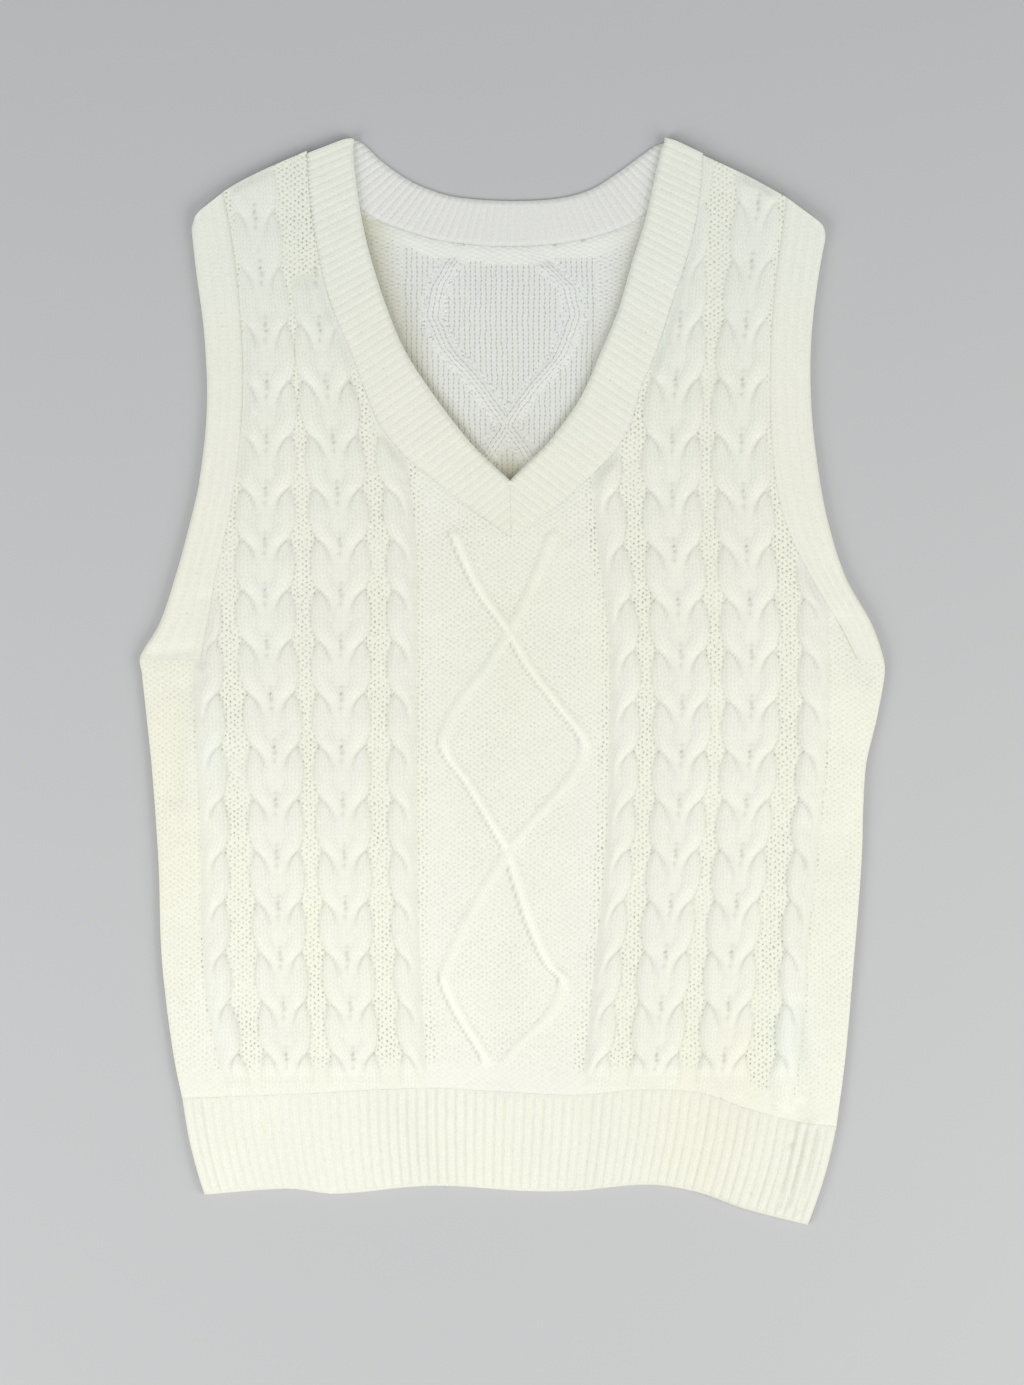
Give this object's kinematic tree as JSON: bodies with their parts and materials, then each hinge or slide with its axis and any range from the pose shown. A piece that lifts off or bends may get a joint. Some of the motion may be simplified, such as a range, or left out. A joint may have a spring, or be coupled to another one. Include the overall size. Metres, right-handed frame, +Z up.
{
  "type": "knitted sweater vest",
  "caption": "Sleeveless V-neck sweater vest in cable knit, laid flat, with ribbed neck, armhole and hem bands.",
  "frame": {"origin": "on the surface the garment lies on, under the middle of its outline", "axes": "+X across the body to the right as seen from above, +Y from hem to shoulders, +Z up from the surface"},
  "size_m": [0.4475, 0.6543, 0.0089],
  "materials": {
    "knit_body": "soft matt cream yarn, cabled",
    "knit_rib": "soft matt cream yarn, ribbed"
  },
  "bodies": {
    "root": {"back_panel": "knit_body", "back_hem_rib": "knit_rib", "neckband_back": "knit_rib", "front_panel": "knit_body", "front_hem_rib": "knit_rib", "neckband_front_left": "knit_rib", "neckband_front_right": "knit_rib", "armband_left_front": "knit_rib", "armband_left_back": "knit_rib", "armband_right_front": "knit_rib", "armband_right_back": "knit_rib"}
  },
  "joints": []
}
